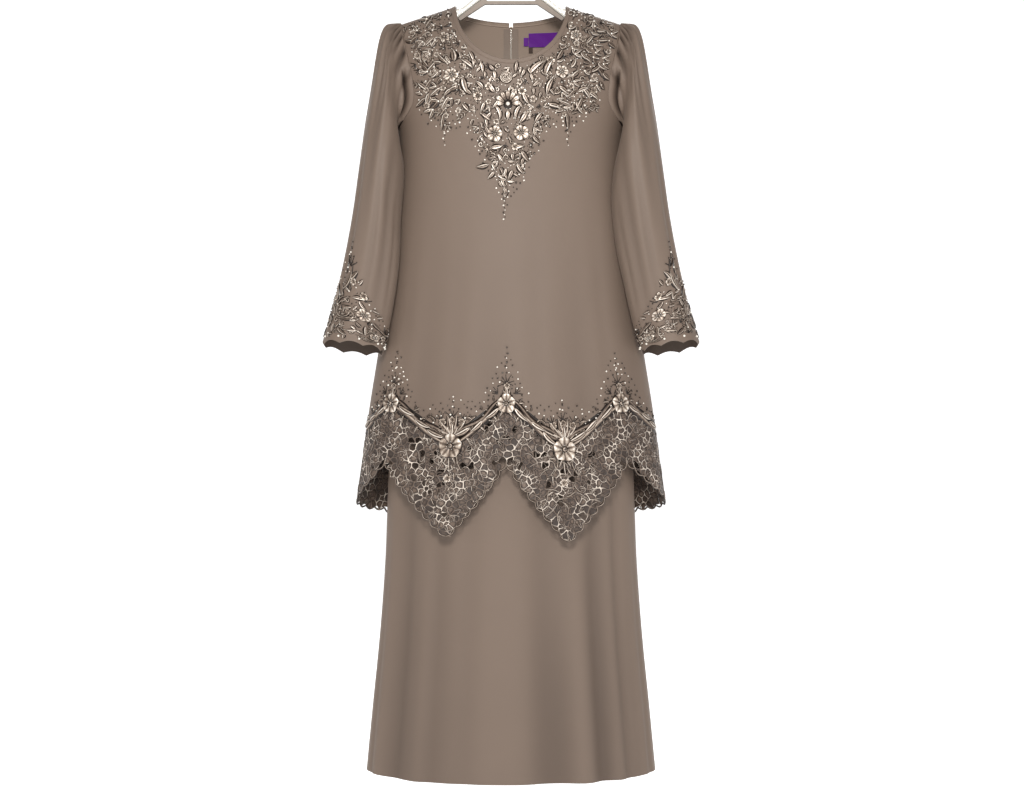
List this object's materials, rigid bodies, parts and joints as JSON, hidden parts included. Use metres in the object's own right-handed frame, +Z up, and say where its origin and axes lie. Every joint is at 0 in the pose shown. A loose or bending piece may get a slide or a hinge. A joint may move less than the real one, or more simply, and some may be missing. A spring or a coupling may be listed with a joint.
{
  "type": "baju kurung on a hanger",
  "caption": "Long-sleeved tunic with an embroidered neck and zigzag openwork lace hem over a long straight skirt, hanging open and empty on a plain hanger.",
  "frame": {"origin": "the underside of the hanger's hook, where it rests on a rail", "axes": "+Z up along the garment's middle, +X towards the wearer's left, -Y out of the garment's front"},
  "size_m": [0.63, 0.2161, 1.4217],
  "materials": {
    "crepe": "satin-backed crepe",
    "lace": "embroidered openwork",
    "thread": "satin thread over padding",
    "binding": "bias binding",
    "ribbon": "satin ribbon",
    "zip_tape": "woven tape",
    "zip_chain": "nylon coil",
    "slider": "lacquer",
    "label": "damask weave, bare",
    "tab": "folded tape, bare",
    "hanger_arms": "smooth cream",
    "hanger_strip": "soft strip",
    "hook_wire": "polished"
  },
  "bodies": {
    "garment": {"cord_back": "thread", "cord_front": "thread", "cuff_flower_left_1": "thread", "cuff_flower_left_2": "thread", "cuff_flower_right_1": "thread", "cuff_flower_right_2": "thread", "fold_tab": "tab", "hanger": "hanger_arms", "hanger_strip": "hanger_strip", "hem_flower_back_1": "thread", "hem_flower_back_2": "thread", "hem_flower_back_3": "thread", "hem_flower_back_4": "thread", "hem_flower_back_5": "thread", "hem_flower_front_1": "thread", "hem_flower_front_2": "thread", "hem_flower_front_3": "thread", "hem_flower_front_4": "thread", "hem_flower_front_5": "thread", "hook": "hook_wire", "label": "label", "lace_back": "lace", "lace_front": "lace", "neck_binding": "binding", "size_tab": "tab", "skirt_back": "crepe", "skirt_front": "crepe", "skirt_loop_left": "ribbon", "skirt_loop_right": "ribbon", "sleeve_left": "crepe", "sleeve_right": "crepe", "tunic_back_left": "crepe", "tunic_back_right": "crepe", "tunic_front": "crepe", "waistband": "crepe", "yoke_flower_1": "thread", "yoke_flower_2": "thread", "yoke_flower_3": "thread", "yoke_flower_4": "thread", "yoke_flower_5": "thread", "yoke_flower_6": "thread", "yoke_flower_7": "thread", "zip_chain": "zip_chain", "zip_slider": "slider", "zip_tape_left": "zip_tape", "zip_tape_right": "zip_tape"},
    "zip_pull": {"zip_pull_tab": "slider"}
  },
  "joints": [
    {"name": "zip_pull_hinge", "type": "hinge", "parent": "garment", "child": "zip_pull", "pos_m": [0, 0.06273, -0.13307], "axis": [1, 0, 0], "range_deg": [0, 140]}
  ]
}
